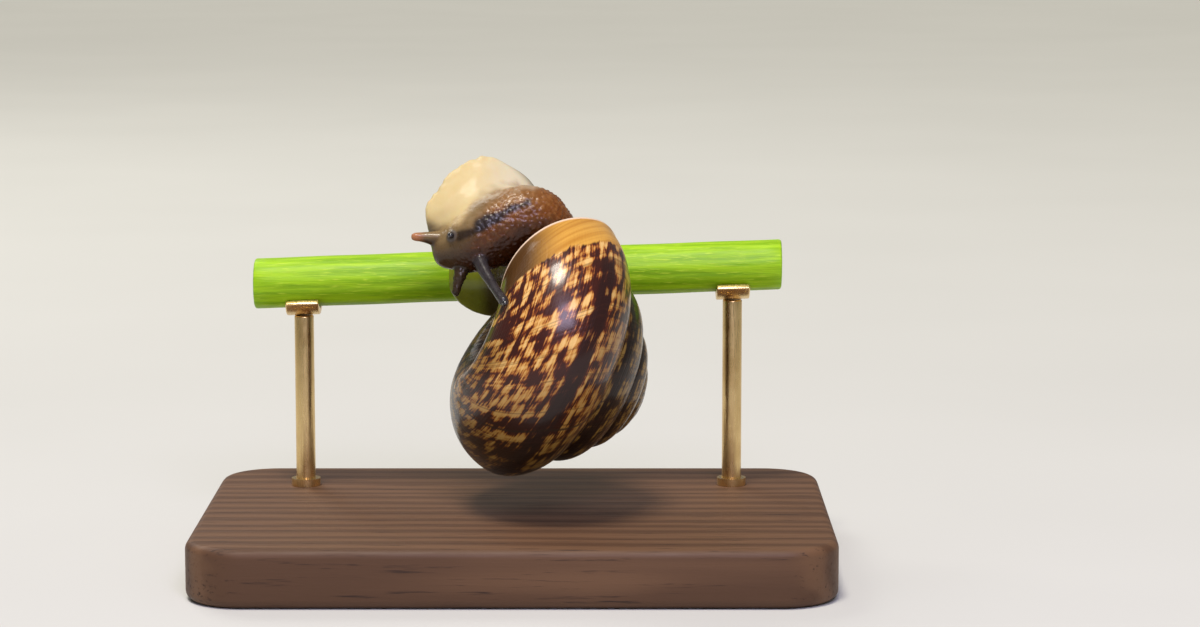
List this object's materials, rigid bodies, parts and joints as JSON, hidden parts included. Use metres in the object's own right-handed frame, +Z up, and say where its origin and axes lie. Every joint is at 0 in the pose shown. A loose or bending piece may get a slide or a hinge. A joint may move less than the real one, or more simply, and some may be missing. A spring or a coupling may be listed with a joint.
{
  "type": "copse snail",
  "caption": "Life-size still model of a copse snail, a garden snail with a flecked brown coiled shell, turning back from a cut plant stem held over a plain display stand.",
  "frame": {"origin": "middle of the underside of the stand's base", "axes": "+X along the plant stem, from the snail's head end to the right; -Y towards the viewer, the side where the shell hangs; +Z up"},
  "size_m": [0.044, 0.03, 0.0287],
  "materials": {
    "shell": "glossy chestnut horn with yellow-tan flecks along the growth, a dark spiral band, fine spiral lines and a honey-coloured lip",
    "skin": "wet orange-brown skin with small rounded tubercles, grey-brown on the head",
    "foot_edge": "wet cream-yellow translucent skin",
    "feelers": "wet slate grey, paler and pinkish at the small tip",
    "eyes": "glossy black",
    "stem": "smooth yellow-green plant skin with fine lengthwise ribs, pale pith at the cut ends",
    "stand_wood": "satin oiled walnut",
    "stand_metal": "satin brushed"
  },
  "bodies": {
    "root": {"shell": "shell", "head": "skin", "neck": "skin", "mantle_collar": "skin", "foot_flap": "foot_edge", "foot_front": "skin", "foot_middle": "skin", "foot_tail": "foot_edge", "tentacle_upper_left": "feelers", "tentacle_upper_right": "feelers", "tentacle_lower_left": "feelers", "tentacle_lower_right": "feelers", "eye_left": "eyes", "eye_right": "eyes", "perch_stem": "stem", "stand_base": "stand_wood", "stand_rod_left": "stand_metal", "stand_rod_right": "stand_metal", "stand_cradle_left": "stand_metal", "stand_cradle_right": "stand_metal"}
  },
  "joints": []
}
